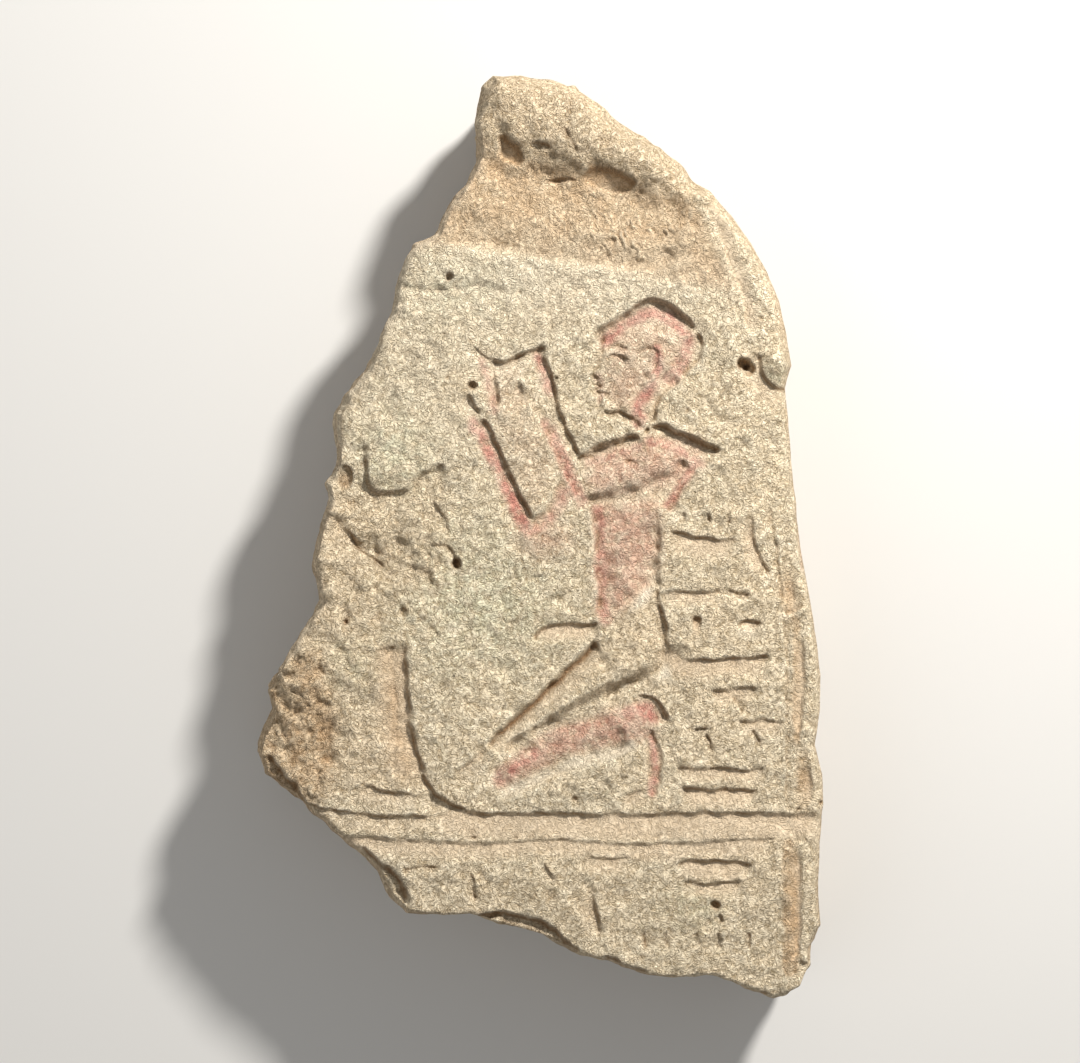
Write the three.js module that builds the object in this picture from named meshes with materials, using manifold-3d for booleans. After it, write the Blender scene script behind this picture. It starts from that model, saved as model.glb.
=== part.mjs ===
// A fragment of a round-topped limestone stele: a kneeling worshipper in sunk relief, with raised hands,
// a column of short strokes behind the figure and a ground line with a second register below it.
// The stone lies on its back. The carved face looks along +Z, its top lies towards +Y, units are millimetres.

import * as THREE from "three";
import { ConvexGeometry } from "three/addons/geometries/ConvexGeometry.js";
import { mergeVertices } from "three/addons/utils/BufferGeometryUtils.js";
import Module from "manifold-3d";

const wasm = await Module();
wasm.setup();

// Driving dimensions of the slab.
const FRAGMENT_HEIGHT = 320;
const SLAB_THICKNESS = 58;
const BACK_CHAMFER = 4;

// The face isn't flat: a slow swell, the lump of the broken top, a knob on the rim, and the worn stretches.
const FACE_SWELL = { height: 0.5, across: 107, along: 145 };
const LUMP_RISE = 3;
const KNOB_RISE = 2.5;
const CORNER_FALL = 5;
const SCAR_FALL = 2.5;
const BORDER_FALL = 3;

// Rims: how far the rounding or the break reaches in from the outline, how far it falls,
// and how rough the side below it is.
const TOP_RIM = { width: 9, drop: 12, rough: 4 };
const ARCH_RIM = { width: 5, drop: 7, rough: 0.8 };
const SIDE_RIM = { width: 3.5, drop: 6, rough: 0.8 };
const FOOT_RIM = { width: 3.5, drop: 18, rough: 4 };
const CORNER_RIM = { width: 5, drop: 24, rough: 4 };
const LEFT_RIM = { width: 11, drop: 16, rough: 4 };

// The chisel cuts: depth below the face, run of the steep wall, run of the long slope.
const BREAK_HOLLOW = { depth: 7, wall: 3, slope: 22 };
const BREAK_FLOOR = { depth: 4, wall: 10, slope: 16 };
const BREAK_STEP = { depth: 3, wall: 1.5, slope: 12 };
const DEEP_CUT = { depth: 3.2, wall: 1.2, slope: 9 };
const BODY_CUT = { depth: 2.2, wall: 1, slope: 5 };
const BROAD_CUT = { depth: 2, wall: 1, slope: 13 };
const SOFT_CUT = { depth: 2, wall: 3, slope: 6 };
const LIGHT_CUT = { depth: 1.2, wall: 0.8, slope: 5 };
const FACE_CUT = { depth: 1.2, wall: 0.8, slope: 3.5 };
const BAND_CUT = { depth: 1.3, wall: 0.8, slope: 8 };
const BORDER_LINE = { depth: 1, wall: 2.2, slope: 2.2 };
const FIRM_LINE = { depth: 1.3, wall: 1.1, slope: 1.6 };
const FINE_LINE = { depth: 0.8, wall: 0.9, slope: 0.9 };

// Depths of the holes.
const KNOB_HOLE = 5;
const PIT = 2.5;
const BREAK_CAVITY = 9;

// How finely the form is worked out.
const GRID_STEP = 10;
const STATION_STEP = 7;
const CLEARANCE = 0.6;
const END_TAPER = 0.15;

// The drawing below is in picture units with y running down. Its corners fall on the rim of the stone.
const BROKEN_TOP = [
  [476, 104], [482, 84], [492, 72], [520, 71], [545, 73], [575, 82],
  [590, 92], [612, 112], [640, 132], [662, 144], [680, 162], [697, 182],
];
const WORKED_ARCH = [
  [710, 190], [732, 214], [752, 243], [768, 272], [780, 302], [788, 335], [792, 365], [786, 388],
];
const WORKED_SIDE = [
  [787, 402], [791, 440], [795, 490], [800, 535], [807, 580], [815, 625], [821, 675],
  [820, 710], [815, 745], [823, 775], [824, 805], [820, 845], [820, 895], [822, 925],
];
const BROKEN_FOOT = [
  [814, 948], [814, 968], [804, 990], [786, 999], [773, 1002], [745, 991], [712, 979], [675, 983], [640, 979],
  [605, 966], [575, 957], [540, 940], [500, 930], [470, 919], [440, 920], [405, 916], [389, 900],
];
const BROKEN_CORNER = [
  [372, 875], [345, 849], [322, 827], [304, 815], [283, 798], [258, 778], [250, 755], [254, 735],
  [267, 712], [262, 688],
];
const BROKEN_LEFT = [
  [274, 665], [293, 638], [306, 616], [317, 600], [308, 565], [313, 535], [326, 498], [322, 483],
  [332, 464], [332, 435], [333, 412], [345, 393], [364, 368], [375, 335], [390, 310], [391, 286],
  [402, 258], [412, 243], [432, 232], [447, 203], [465, 178], [474, 155], [472, 122],
];
const OUTLINE = [
  ...BROKEN_TOP.map((point) => ({ point, rim: TOP_RIM })),
  ...WORKED_ARCH.map((point) => ({ point, rim: ARCH_RIM })),
  ...WORKED_SIDE.map((point) => ({ point, rim: SIDE_RIM })),
  ...BROKEN_FOOT.map((point) => ({ point, rim: FOOT_RIM })),
  ...BROKEN_CORNER.map((point) => ({ point, rim: CORNER_RIM })),
  ...BROKEN_LEFT.map((point) => ({ point, rim: LEFT_RIM })),
];

// Swellings and worn stretches of the face: centre, radii, height.
const SWELLINGS = [
  { at: [556, 118], radii: [95, 48], rise: LUMP_RISE },
  { at: [774, 366], radii: [20, 26], rise: KNOB_RISE },
  { at: [283, 730], radii: [50, 62], rise: -CORNER_FALL },
  { at: [372, 560], radii: [52, 62], rise: -SCAR_FALL },
  { at: [790, 470], radii: [22, 90], rise: -BORDER_FALL },
];

// Damage: the broken hollow under the top and the edges of the lost face on the left.
const DAMAGE = [
  {
    cut: BREAK_HOLLOW, low: "right",
    path: [[476, 138], [505, 149], [545, 160], [590, 171], [640, 185], [688, 198]],
  },
  { cut: BREAK_FLOOR, low: "left", path: [[438, 216], [490, 224], [550, 234], [620, 248], [692, 262]] },
  {
    cut: BREAK_STEP, low: "right",
    path: [[364, 425], [363, 480], [374, 495], [400, 498], [417, 487], [430, 475], [446, 471]],
  },
];

// The kneeling figure. Low names the side of the path, in its own direction, that lies sunk.
const HEAD = [
  {
    cut: DEEP_CUT, low: "right",
    path: [[603, 337], [612, 327], [632, 315], [652, 308], [672, 313], [688, 327]],
  },
  { cut: BODY_CUT, low: "right", path: [[686, 324], [697, 342], [693, 362], [681, 378]] },
  { cut: LIGHT_CUT, low: "right", path: [[681, 378], [666, 388], [657, 403], [652, 425]] },
  { cut: FACE_CUT, low: "left", path: [[603, 336], [602, 354], [592, 374]] },
  { cut: FACE_CUT, low: "left", path: [[592, 373], [600, 380]] },
  { cut: FACE_CUT, low: "left", path: [[598, 380], [600, 392], [598, 406]] },
  { cut: FACE_CUT, low: "left", path: [[598, 405], [606, 411], [620, 411], [632, 418], [642, 430]] },
  { cut: FINE_LINE, low: "left", path: [[608, 358], [622, 358]] },
  { cut: FINE_LINE, low: "left", path: [[642, 350], [652, 354], [654, 366], [645, 376]] },
];
const ARMS = [
  {
    cut: BODY_CUT, low: "right",
    path: [[479, 352], [492, 357], [504, 361], [516, 358], [530, 354], [546, 348]],
  },
  {
    cut: BODY_CUT, low: "right",
    path: [[469, 396], [481, 424], [496, 450], [511, 480], [523, 506], [534, 524]],
  },
  { cut: LIGHT_CUT, low: "right", path: [[532, 524], [546, 512], [557, 494], [565, 480]] },
  { cut: FINE_LINE, low: "left", path: [[484, 358], [492, 385], [497, 412]] },
  {
    cut: SOFT_CUT, low: "left",
    path: [[521, 386], [530, 406], [541, 424], [553, 448], [566, 474], [578, 497]],
  },
  { cut: BODY_CUT, low: "right", path: [[541, 352], [549, 380], [559, 410], [570, 436], [583, 461]] },
  { cut: DEEP_CUT, low: "right", path: [[582, 460], [600, 451], [618, 444], [634, 440]] },
  { cut: SOFT_CUT, low: "right", path: [[588, 507], [612, 501], [640, 494], [662, 485], [684, 469]] },
];
const TRUNK = [
  { cut: DEEP_CUT, low: "right", path: [[644, 431], [662, 431], [685, 437], [702, 446], [718, 457]] },
  { cut: LIGHT_CUT, low: "right", path: [[716, 457], [703, 463], [692, 476], [676, 490]] },
  { cut: BROAD_CUT, low: "left", path: [[590, 508], [597, 530], [600, 570], [601, 619]] },
  { cut: BROAD_CUT, low: "right", path: [[663, 540], [657, 563], [654, 586]] },
];
const LEGS = [
  { cut: BODY_CUT, low: "right", path: [[654, 584], [660, 612], [667, 640], [673, 668]] },
  { cut: LIGHT_CUT, low: "right", path: [[537, 641], [546, 630], [562, 625], [584, 624], [601, 621]] },
  { cut: BODY_CUT, low: "left", path: [[605, 638], [572, 670], [537, 704], [503, 740], [471, 774]] },
  {
    cut: SOFT_CUT, low: "left",
    path: [[662, 676], [640, 690], [606, 700], [575, 713], [540, 731], [512, 755], [493, 780]],
  },
  { cut: DEEP_CUT, low: "right", path: [[632, 704], [646, 698], [659, 705], [670, 721]] },
  { cut: FIRM_LINE, low: "right", path: [[651, 736], [658, 762], [654, 780], [657, 797]] },
  { cut: LIGHT_CUT, low: "right", path: [[612, 798], [632, 796], [648, 787]] },
  { cut: FINE_LINE, low: "right", path: [[640, 582], [655, 586]] },
];

// The right edge of the lost figure that the worshipper faces.
const LOST_FIGURE = [
  { cut: BROAD_CUT, low: "right", path: [[403, 640], [403, 690], [408, 725], [416, 758], [428, 788]] },
  { cut: DEEP_CUT, low: "right", path: [[427, 786], [445, 802], [466, 811]] },
];

// Ruled lines: the ground line, the border on the right and the border that follows the arch.
const RULED_LINES = [
  {
    cut: BAND_CUT, low: "right",
    path: [[326, 815], [400, 815], [500, 814], [600, 815], [700, 814], [786, 813]],
  },
  {
    cut: FINE_LINE, low: "right",
    path: [[338, 838], [420, 839], [500, 843], [600, 846], [690, 843], [762, 840]],
  },
  { cut: BORDER_LINE, low: "right", path: [[789, 618], [790, 700], [789, 800], [790, 880], [790, 962]] },
  { cut: FINE_LINE, low: "right", path: [[766, 500], [771, 540], [778, 596]] },
  { cut: BORDER_LINE, low: "right", path: [[697, 203], [720, 236], [739, 273], [751, 310], [757, 345]] },
];

// The place of the inscription: plain strokes, each from one end to the other.
const FIRM_STROKES = [
  [[682, 536], [736, 539]],
  [[676, 657], [764, 657]],
  [[680, 789], [760, 789]],
  [[675, 768], [766, 768]],
  [[736, 626], [758, 624]],
];
const FINE_STROKES = [
  [[660, 594], [724, 591]],
  [[706, 690], [757, 686]],
  [[690, 724], [716, 724]],
  [[738, 722], [776, 721]],
  [[690, 619], [704, 617]],
  [[668, 866], [752, 866]],
  [[684, 883], [742, 882]],
  [[588, 857], [626, 856]],
  [[700, 513], [704, 527]],
  [[722, 511], [724, 526]],
  [[748, 512], [764, 570]],
  [[736, 694], [747, 712]],
  [[706, 733], [713, 751]],
  [[750, 729], [758, 747]],
  [[541, 862], [556, 880]],
  [[590, 880], [598, 924]],
];
// A row of separate slanted ticks in the lower register.
const TICK_ROW = { first: [648, 936], step: 24, count: 5, reach: [11, 14] };

// Holes and cavities: centre, radii, depth.
const CAVITIES = [
  { at: [745, 367], radii: [9, 8], depth: KNOB_HOLE },
  { at: [458, 565], radii: [5, 6], depth: PIT },
  { at: [450, 278], radii: [4.5, 4.5], depth: PIT },
  { at: [472, 386], radii: [4.5, 4], depth: PIT },
  { at: [713, 903], radii: [6, 5], depth: PIT },
  { at: [612, 184], radii: [24, 10], depth: BREAK_CAVITY },
  { at: [511, 154], radii: [11, 9], depth: BREAK_CAVITY },
];

// From picture units to millimetres, with the origin under the middle of the outline's box.
const outlineX = OUTLINE.map(({ point }) => point[0]);
const outlineY = OUTLINE.map(({ point }) => point[1]);
const pictureLeft = Math.min(...outlineX);
const pictureRight = Math.max(...outlineX);
const pictureTop = Math.min(...outlineY);
const pictureBottom = Math.max(...outlineY);
const UNIT = FRAGMENT_HEIGHT / (pictureBottom - pictureTop);

function place([px, py]) {
  return new THREE.Vector2(
    (px - (pictureLeft + pictureRight) / 2) * UNIT,
    ((pictureTop + pictureBottom) / 2 - py) * UNIT,
  );
}

// Height of the uncarved face above the back, with its slow swell and its swellings.
function faceHeight(x, y) {
  const acrossTurn = (2 * Math.PI * x) / FACE_SWELL.across + 0.6;
  const alongTurn = (2 * Math.PI * y) / FACE_SWELL.along + 0.4;
  const swell = FACE_SWELL.height * Math.sin(acrossTurn) * Math.cos(alongTurn);
  const raised = SWELLINGS.reduce((sum, { at, radii, rise }) => {
    const middle = place(at);
    const across = (x - middle.x) / (radii[0] * UNIT);
    const along = (y - middle.y) / (radii[1] * UNIT);
    return sum + rise * Math.exp(-(across * across + along * along));
  }, 0);
  return SLAB_THICKNESS + swell + raised;
}

// A closed geometry becomes a solid once its shared vertices are merged.
function solidOf(geometry) {
  const bare = geometry.clone();
  bare.deleteAttribute("normal");
  bare.deleteAttribute("uv");
  const merged = mergeVertices(bare, 1e-4);
  return new wasm.Manifold(
    new wasm.Mesh({
      numProp: 3,
      vertProperties: new Float32Array(merged.attributes.position.array),
      triVerts: new Uint32Array(merged.index.array),
    }),
  );
}

// A block as large as the fragment, whose top is the uncarved face.
function faceBlock() {
  const margin = GRID_STEP;
  const width = (pictureRight - pictureLeft) * UNIT + 2 * margin;
  const height = FRAGMENT_HEIGHT + 2 * margin;
  const block = new THREE.BoxGeometry(
    width, height, SLAB_THICKNESS,
    Math.ceil(width / GRID_STEP), Math.ceil(height / GRID_STEP), 1,
  );
  const position = block.attributes.position;
  for (let i = 0; i < position.count; i++) {
    const x = position.getX(i);
    const y = position.getY(i);
    position.setZ(i, position.getZ(i) > 0 ? faceHeight(x, y) : 0);
  }
  return solidOf(block);
}

// Directions that point into the outline at each corner, evened out over the corner's neighbours.
function inwardDirections(corners) {
  const count = corners.length;
  const edgeNormal = (i) => {
    const from = corners[i % count];
    const to = corners[(i + 1) % count];
    return new THREE.Vector2(to.y - from.y, from.x - to.x).normalize();
  };
  return corners.map((_, i) => {
    const direction = new THREE.Vector2();
    for (const step of [-2, -1, 0, 1]) {
      direction.add(edgeNormal(i + step + count));
    }
    return direction.normalize();
  });
}

// The side of the slab: rings that follow the outline from the back to above the face.
function sideBody() {
  const corners = OUTLINE.map(({ point }) => place(point));
  const inward = inwardDirections(corners);
  const above = SLAB_THICKNESS + FACE_SWELL.height + LUMP_RISE + CLEARANCE;
  const hollow = (rim, turn) => rim.rough * (0.5 + 0.5 * Math.sin(turn));
  const rings = [
    (rim, i) => ({ inset: BACK_CHAMFER + hollow(rim, 1.3 * i), z: 0 }),
    (rim, i) => ({ inset: hollow(rim, 2.1 * i), z: SLAB_THICKNESS * 0.2 }),
    (rim, i) => ({ inset: hollow(rim, 1.7 * i + 2), z: (SLAB_THICKNESS - rim.drop) * 0.66 }),
    (rim) => ({ inset: 0, z: SLAB_THICKNESS - rim.drop }),
    (rim) => ({ inset: rim.width * 0.3, z: SLAB_THICKNESS - rim.drop * 0.35 }),
    (rim) => ({ inset: rim.width, z: SLAB_THICKNESS }),
    (rim) => ({ inset: rim.width, z: above }),
  ];
  const points = rings.flatMap((ring) =>
    OUTLINE.map(({ rim }, i) => {
      const { inset, z } = ring(rim, i);
      const flat = corners[i].clone().addScaledVector(inward[i], inset);
      return new THREE.Vector3(flat.x, flat.y, z);
    }),
  );
  const count = corners.length;
  const faces = [];
  for (let ring = 0; ring < rings.length - 1; ring++) {
    for (let i = 0; i < count; i++) {
      const low = ring * count + i;
      const next = ring * count + ((i + 1) % count);
      faces.push([low, low + count, next], [next, low + count, next + count]);
    }
  }
  const capOf = (start) => {
    const loop = points.slice(start, start + count).map(({ x, y }) => new THREE.Vector2(x, y));
    return THREE.ShapeUtils.triangulateShape(loop, []).map((face) => face.map((v) => start + v));
  };
  faces.push(...capOf(0).map(([a, b, c]) => [a, c, b]));
  faces.push(...capOf((rings.length - 1) * count));
  const body = new THREE.BufferGeometry().setFromPoints(points);
  body.setIndex(faces.flat());
  return solidOf(body);
}

// One section of a chisel cut: the root of the cut and the tops of its wall and its slope.
function cutSection(at, heading, { depth, wall, slope }, lowSign, share) {
  const side = new THREE.Vector2(-heading.y, heading.x).multiplyScalar(lowSign);
  const face = faceHeight(at.x, at.y);
  const grow = (share * (depth * share + CLEARANCE)) / (depth * share);
  const offset = (distance, z) =>
    new THREE.Vector3(at.x + side.x * distance, at.y + side.y * distance, z);
  return [
    offset(0, face - depth * share),
    offset(-wall * grow, face + CLEARANCE),
    offset(slope * grow, face + CLEARANCE),
  ];
}

// A chisel cut as one solid: convex wedges from station to station along the path.
function chiselCut({ cut, low, path }) {
  const line = new THREE.SplineCurve(path.map(place));
  const steps = Math.max(2, Math.ceil(line.getLength() / STATION_STEP));
  const lowSign = low === "left" ? 1 : -1;
  const sections = Array.from({ length: steps + 1 }, (_, i) => {
    const share = i === 0 || i === steps ? END_TAPER : 1;
    return cutSection(line.getPointAt(i / steps), line.getTangentAt(i / steps), cut, lowSign, share);
  });
  const wedgeTo = (section, i) => solidOf(new ConvexGeometry([...sections[i], ...section]));
  return sections
    .slice(1)
    .map(wedgeTo)
    .reduce((whole, wedge) => whole.add(wedge));
}

// A hole in the face, round or long, with a rough low-sided form.
function cavity({ at, radii, depth }) {
  const middle = place(at);
  const ball = new THREE.IcosahedronGeometry(1, 0);
  ball.scale(radii[0] * UNIT, radii[1] * UNIT, depth);
  ball.translate(middle.x, middle.y, faceHeight(middle.x, middle.y));
  return solidOf(ball);
}

// The separate ticks of the lower register, all leaning the same way.
function tickStrokes({ first, step, count, reach }) {
  return Array.from({ length: count }, (_, i) => {
    const start = [first[0] + i * step, first[1]];
    return [start, [start[0] + reach[0], start[1] + reach[1]]];
  });
}

function strokeCuts(strokes, cut) {
  return strokes.map((path) => ({ cut, low: "right", path }));
}

function steleSolid() {
  const carving = [
    ...DAMAGE, ...HEAD, ...ARMS, ...TRUNK, ...LEGS, ...LOST_FIGURE, ...RULED_LINES,
    ...strokeCuts(FIRM_STROKES, FIRM_LINE),
    ...strokeCuts([...FINE_STROKES, ...tickStrokes(TICK_ROW)], FINE_LINE),
  ];
  const cutters = [...carving.map(chiselCut), ...CAVITIES.map(cavity)];
  const slab = faceBlock().intersect(sideBody());
  return cutters.reduce((stone, cutter) => stone.subtract(cutter), slab);
}

function meshOf(name, solid, material) {
  const { numProp, vertProperties, triVerts } = solid.getMesh();
  const geometry = new THREE.BufferGeometry();
  const points = Array.from({ length: vertProperties.length / numProp }, (_, i) =>
    new THREE.Vector3().fromArray(vertProperties, i * numProp),
  );
  geometry.setFromPoints(points);
  geometry.setIndex([...triVerts]);
  geometry.computeVertexNormals();
  const mesh = new THREE.Mesh(geometry, material);
  mesh.name = name;
  return mesh;
}

const limestone = new THREE.MeshStandardMaterial({ color: 0xd2c3a2, roughness: 0.95, metalness: 0 });

const stele = new THREE.Group();
stele.add(meshOf("stele_fragment", steleSolid(), limestone));

export default stele;
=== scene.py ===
"""A limestone stele fragment with a kneeling worshipper in sunk relief, lying on its back.

The relief is drawn in picture units, with y running down, and worked out as a height field in millimetres.
A blank with the fragment's outline and rims takes the relief on its face and breakage on its sides.
"""
import itertools
import math
from collections import namedtuple

import bpy
import numpy as np
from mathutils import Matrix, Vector


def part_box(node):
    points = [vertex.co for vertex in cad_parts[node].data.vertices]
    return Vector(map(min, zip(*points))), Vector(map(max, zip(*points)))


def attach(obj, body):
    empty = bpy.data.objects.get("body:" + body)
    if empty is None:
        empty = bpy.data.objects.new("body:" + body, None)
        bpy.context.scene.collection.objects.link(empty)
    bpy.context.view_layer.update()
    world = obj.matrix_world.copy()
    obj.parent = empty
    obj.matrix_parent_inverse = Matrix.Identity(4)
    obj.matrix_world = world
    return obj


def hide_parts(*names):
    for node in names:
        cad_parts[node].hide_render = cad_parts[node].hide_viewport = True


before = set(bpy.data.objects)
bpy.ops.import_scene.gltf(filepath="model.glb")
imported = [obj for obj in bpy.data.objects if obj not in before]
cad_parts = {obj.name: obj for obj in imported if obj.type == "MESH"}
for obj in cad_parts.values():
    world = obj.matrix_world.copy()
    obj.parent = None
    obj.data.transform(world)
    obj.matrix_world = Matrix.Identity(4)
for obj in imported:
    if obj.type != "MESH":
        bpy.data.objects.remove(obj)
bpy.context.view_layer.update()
stone_low, stone_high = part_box("stele_fragment")

MM_PER_M = 1000

# Sizes in millimetres, the same as the solid's.
THICKNESS = 58.0
BACK_CHAMFER = 4.0

# The mesh: its voxels in mm, the most triangles in all, and those left to the sides and the back.
VOXEL = 0.4
MOST_TRIANGLES = 196000
REST_TRIANGLES = 42000

# The sides reach this share of the height. The rims and the face lie above it.
SIDE_SHARE = 0.66

# The picture's width and the point in it that the camera looks at, in picture units.
PICTURE_WIDTH = 1080
PICTURE_MIDDLE = (540, 531.5)

# The rims: how far each reaches in, how far it falls, how rough the side below is, how sharply it turns.
Rim = namedtuple("Rim", "width drop rough turn")
TOP_RIM = Rim(9, 12, 4, 2.3)
ARCH_RIM = Rim(5, 7, 0.8, 2.2)
SIDE_RIM = Rim(3.5, 6, 0.8, 2.0)
FOOT_RIM = Rim(3.5, 18, 4, 2.6)
CORNER_RIM = Rim(5, 24, 4, 2.6)
LEFT_RIM = Rim(11, 16, 4, 8)

BROKEN_TOP = [
    (476, 104), (482, 84), (492, 72), (520, 71), (545, 73), (575, 82),
    (590, 92), (612, 112), (640, 132), (662, 144), (680, 162), (697, 182),
]
WORKED_ARCH = [
    (710, 190), (732, 214), (752, 243), (768, 272), (780, 302), (788, 335), (792, 365), (786, 388),
]
WORKED_SIDE = [
    (787, 402), (791, 440), (795, 490), (800, 535), (807, 580), (815, 625), (821, 675),
    (820, 710), (815, 745), (823, 775), (824, 805), (820, 845), (820, 895), (822, 925),
]
BROKEN_FOOT = [
    (814, 948), (814, 968), (804, 990), (786, 999), (773, 1002), (745, 991), (712, 979),
    (675, 983), (640, 979), (605, 966), (575, 957), (540, 940), (500, 930), (470, 919),
    (440, 920), (405, 916), (389, 900),
]
BROKEN_CORNER = [
    (372, 875), (345, 849), (322, 827), (304, 815), (283, 798), (258, 778), (250, 755),
    (254, 735), (267, 712), (262, 688),
]
BROKEN_LEFT = [
    (274, 665), (293, 638), (306, 616), (317, 600), (308, 565), (313, 535), (326, 498), (322, 483),
    (332, 464), (332, 435), (333, 412), (345, 393), (364, 368), (375, 335), (390, 310), (391, 286),
    (402, 258), (412, 243), (432, 232), (447, 203), (465, 178), (474, 155), (472, 122),
]
STRETCHES = [
    (BROKEN_TOP, TOP_RIM), (WORKED_ARCH, ARCH_RIM), (WORKED_SIDE, SIDE_RIM),
    (BROKEN_FOOT, FOOT_RIM), (BROKEN_CORNER, CORNER_RIM), (BROKEN_LEFT, LEFT_RIM),
]
OUTLINE = np.array([point for points, _ in STRETCHES for point in points], float)
RIMS = np.array([rim for points, rim in STRETCHES for _ in points], float)

# From picture units to millimetres.
PICTURE_LOW, PICTURE_HIGH = OUTLINE.min(0), OUTLINE.max(0)
CENTRE = (PICTURE_LOW + PICTURE_HIGH) / 2
UNIT = (stone_high.y - stone_low.y) * MM_PER_M / (PICTURE_HIGH[1] - PICTURE_LOW[1])

# The sample grid of the height field, in picture units.
STEP = 1.2
MARGIN = 14
GRID_X = np.arange(PICTURE_LOW[0] - MARGIN, PICTURE_HIGH[0] + MARGIN, STEP)
GRID_Y = np.arange(PICTURE_LOW[1] - MARGIN, PICTURE_HIGH[1] + MARGIN, STEP)
X, Y = np.meshgrid(GRID_X, GRID_Y)
WAVES = np.hypot(
    np.fft.fftfreq(len(GRID_Y), STEP * UNIT)[:, None],
    np.fft.rfftfreq(len(GRID_X), STEP * UNIT)[None, :],
)


def smooth(t):
    """An even turn from zero to one."""
    t = np.clip(t, 0.0, 1.0)
    return t * t * (3 - 2 * t)


def noise(longest, shortest, seed):
    """Even noise over the grid, with waves between two lengths in mm and a spread of one."""
    white = np.random.default_rng(seed).standard_normal(X.shape)
    gain = np.exp(-0.5 * (WAVES * shortest) ** 2) * (1 - np.exp(-0.5 * (WAVES * longest) ** 2))
    field = np.fft.irfft2(np.fft.rfft2(white) * gain, s=X.shape)
    return field / field.std()


def blur(field, width):
    """The field softened over a width in mm."""
    gain = np.exp(-2 * (math.pi * WAVES * width) ** 2)
    return np.fft.irfft2(np.fft.rfft2(field) * gain, s=X.shape)


def spline(points, step=3.0):
    """A smooth curve through the points, sampled about every step."""
    p = np.asarray(points, float)
    knots = np.vstack([2 * p[:1] - p[1:2], p, 2 * p[-1:] - p[-2:-1]])
    runs = []
    for a, b, c, d in zip(knots, knots[1:], knots[2:], knots[3:]):
        count = max(1, math.ceil(np.hypot(*(c - b)) / step))
        t = np.arange(count)[:, None] / count
        runs.append(b + 0.5 * t * (c - a + t * (2 * a - 5 * b + 4 * c - d + t * (3 * b - a - 3 * c + d))))
    return np.vstack(runs + [p[-1:]])


# The hand's unevenness: every path is read through these slightly shifted coordinates.
HAND_X = X + 0.7 * noise(24, 10, 11) + 0.1 * noise(7, 3, 12)
HAND_Y = Y + 0.7 * noise(24, 10, 13) + 0.1 * noise(7, 3, 14)


def track(path, reach):
    """The grid near a path: its window, distance in mm (positive on the right), place along it and length."""
    line = spline(path)
    pad = reach / UNIT + 5
    columns = np.searchsorted(GRID_X, [line[:, 0].min() - pad, line[:, 0].max() + pad])
    rows = np.searchsorted(GRID_Y, [line[:, 1].min() - pad, line[:, 1].max() + pad])
    window = (slice(*rows), slice(*columns))
    x, y = HAND_X[window], HAND_Y[window]
    nearest = np.full(x.shape, 1e12)
    signed = np.zeros(x.shape)
    place = np.zeros(x.shape)
    gone = 0.0
    for (ax, ay), (bx, by) in zip(line, line[1:]):
        dx, dy = bx - ax, by - ay
        length = math.hypot(dx, dy)
        t = np.clip(((x - ax) * dx + (y - ay) * dy) / length**2, 0, 1)
        square = (x - ax - t * dx) ** 2 + (y - ay - t * dy) ** 2
        closer = square < nearest
        side = np.where(dx * (y - ay) - dy * (x - ax) >= 0, 1.0, -1.0)
        nearest = np.where(closer, square, nearest)
        signed = np.where(closer, side * np.sqrt(square), signed)
        place = np.where(closer, gone + t * length, place)
        gone += length
    return window, signed * UNIT, place * UNIT, gone * UNIT


def inside(polygon):
    """One within a closed polygon and nothing outside it."""
    held = np.zeros(X.shape, bool)
    corners = np.asarray(polygon, float)
    for (ax, ay), (bx, by) in zip(corners, np.roll(corners, -1, 0)):
        if ay != by:
            crosses = (ay > HAND_Y) != (by > HAND_Y)
            held ^= crosses & (HAND_X < (bx - ax) * (HAND_Y - ay) / (by - ay) + ax)
    return held.astype(float)


def region(polygon, softness):
    """A closed patch with an edge softened over a width in mm."""
    return np.clip(blur(inside(polygon), softness), 0, 1)


def strip(path, half_width, softness):
    """A soft band along a path, half_width and softness in mm."""
    field = np.zeros(X.shape)
    window, signed, _, _ = track(path, half_width + softness)
    field[window] = 1 - smooth((np.abs(signed) - half_width) / softness + 0.5)
    return field


def swelling(at, radii, rise, turn=0.0):
    """A soft rise about a point, with radii in picture units and the turn in degrees."""
    c, s = math.cos(math.radians(turn)), math.sin(math.radians(turn))
    x, y = X - at[0], Y - at[1]
    across, along = (c * x + s * y) / radii[0], (c * y - s * x) / radii[1]
    return rise * np.exp(-(across**2 + along**2))


# Chisel cuts: depth below the face, run of the steep wall, run of the long slope, how smooth the slope is.
# Each path says on which side of it the long slope lies. Where cuts cross, the deepest counts, but one with
# a slope under DETAIL_SLOPE is cut into the others.
DETAIL_SLOPE = 4
Cut = namedtuple("Cut", "depth wall slope clean")
BREAK_HOLLOW = Cut(4.2, 15, 26, 0)
UNDERCUT = Cut(1.2, 2.4, 9, 0)
BREAK_LIP = Cut(3, 4, 24, 0)
BREAK_STEP = Cut(2.2, 2.6, 12, 0)
CHIP = Cut(3.0, 2.6, 12, 0)
RIDGE = Cut(1.3, 2.6, 8, 0.2)
DEEP = Cut(3.1, 2.6, 10, 0.2)
BODY = Cut(2.3, 1.9, 8, 0.2)
BROAD = Cut(2.2, 2.4, 14, 0.7)
TORSO = Cut(2.7, 2.3, 14, 0.1)
THIGH = Cut(3.1, 2.2, 9, 0.5)
SOFT = Cut(2.4, 4.6, 9, 0.3)
UNDER_THIGH = Cut(3.5, 4.8, 15, 0.1)
CALF = Cut(2.6, 2.6, 13, 0)
LIFT = Cut(1.7, 2.6, 9, 0)
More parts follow.
